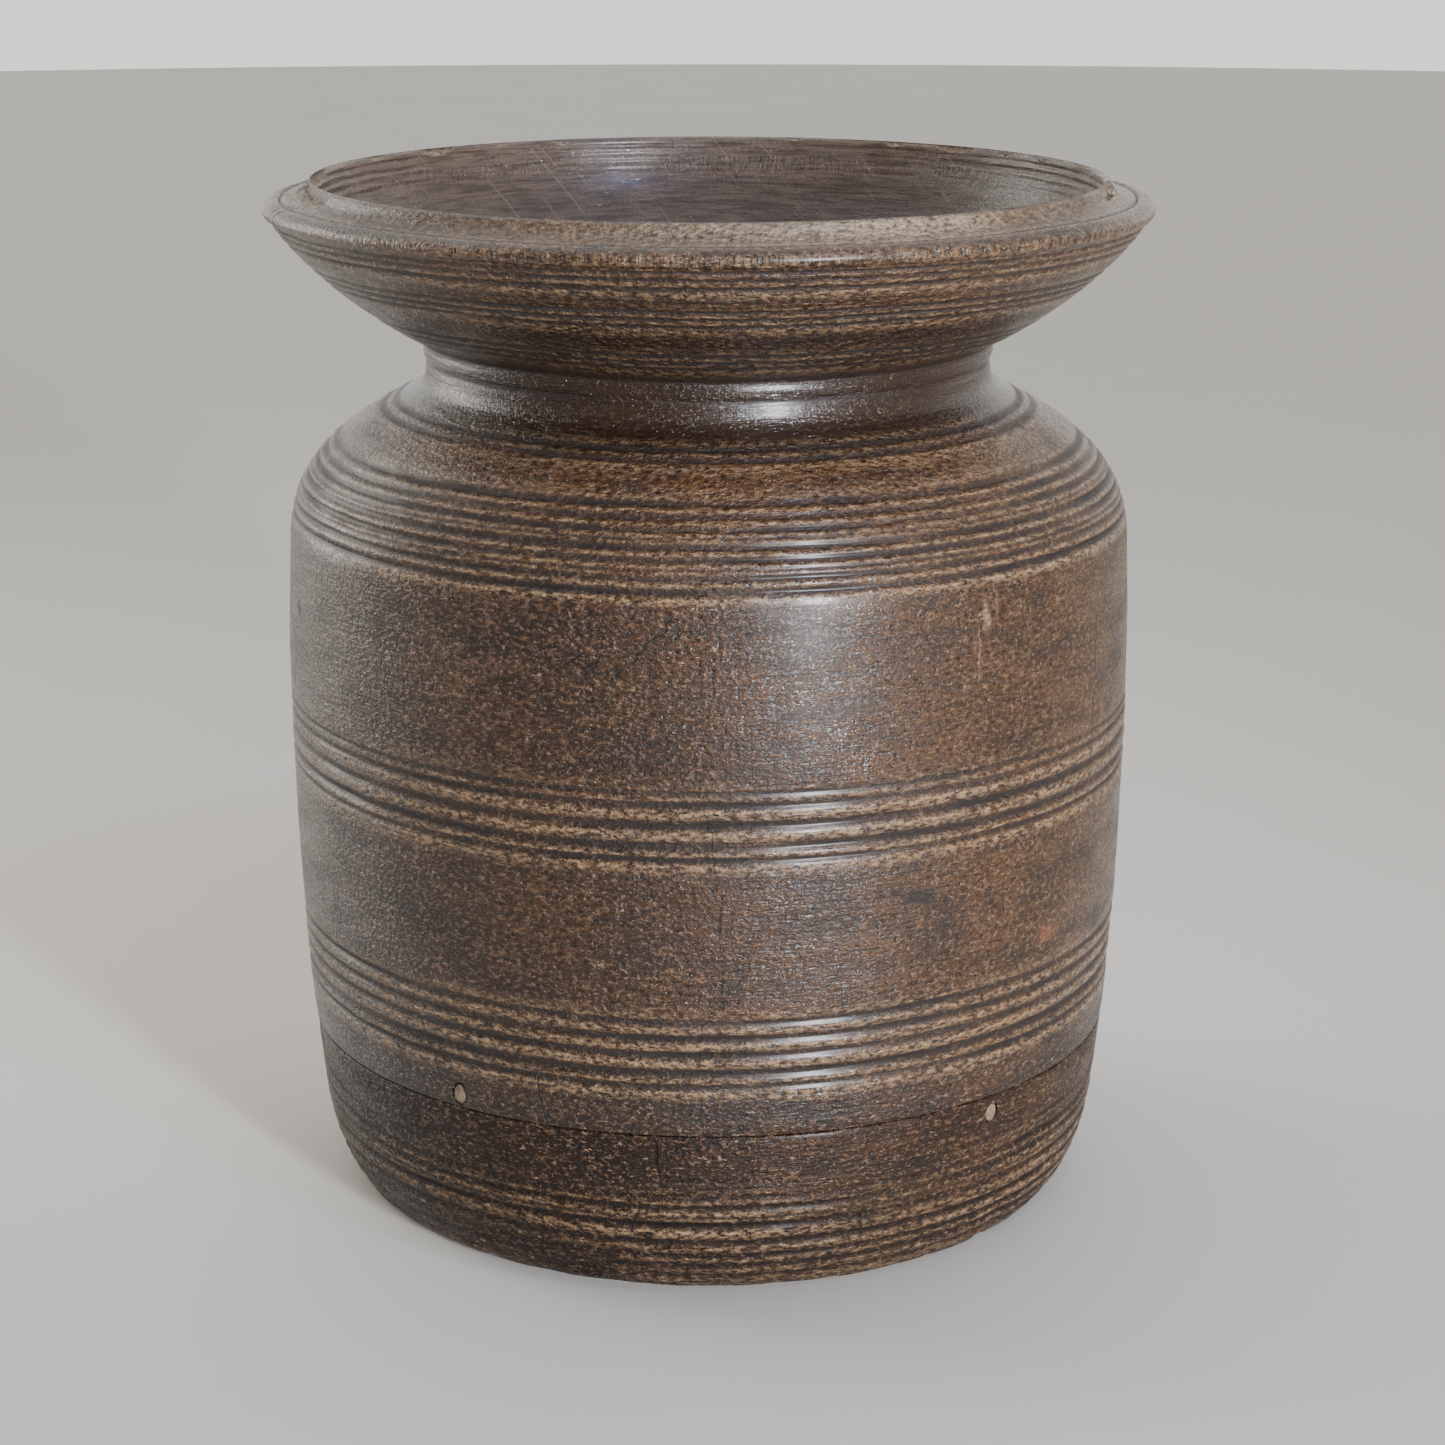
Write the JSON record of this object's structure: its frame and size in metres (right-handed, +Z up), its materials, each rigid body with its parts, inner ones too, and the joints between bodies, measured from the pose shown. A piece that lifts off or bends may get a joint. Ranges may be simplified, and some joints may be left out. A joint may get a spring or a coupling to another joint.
{
  "type": "turned wooden pot",
  "caption": "Wide-mouthed turned wooden pot with a flared rim, a raised lip, ringed shoulder and sides, and a let-in base held by slanted pegs.",
  "frame": {"origin": "centre of the standing ring, on the surface that the pot stands on", "axes": "+Z up along the turning axis, out of the mouth; the front with the two visible pegs faces -Y"},
  "size_m": [0.2886, 0.2886, 0.336],
  "materials": {
    "body_wood": "old waxed, semi-gloss",
    "base_wood": "old waxed, worn",
    "pitch": "dark pine pitch",
    "peg_wood": "pale dry end grain"
  },
  "bodies": {
    "root": {"pot_body": "body_wood", "base_bowl": "base_wood", "joint_seal": "pitch", "peg_front_left": "peg_wood", "peg_front_right": "peg_wood", "peg_back_right": "peg_wood", "peg_back_left": "peg_wood"}
  },
  "joints": []
}
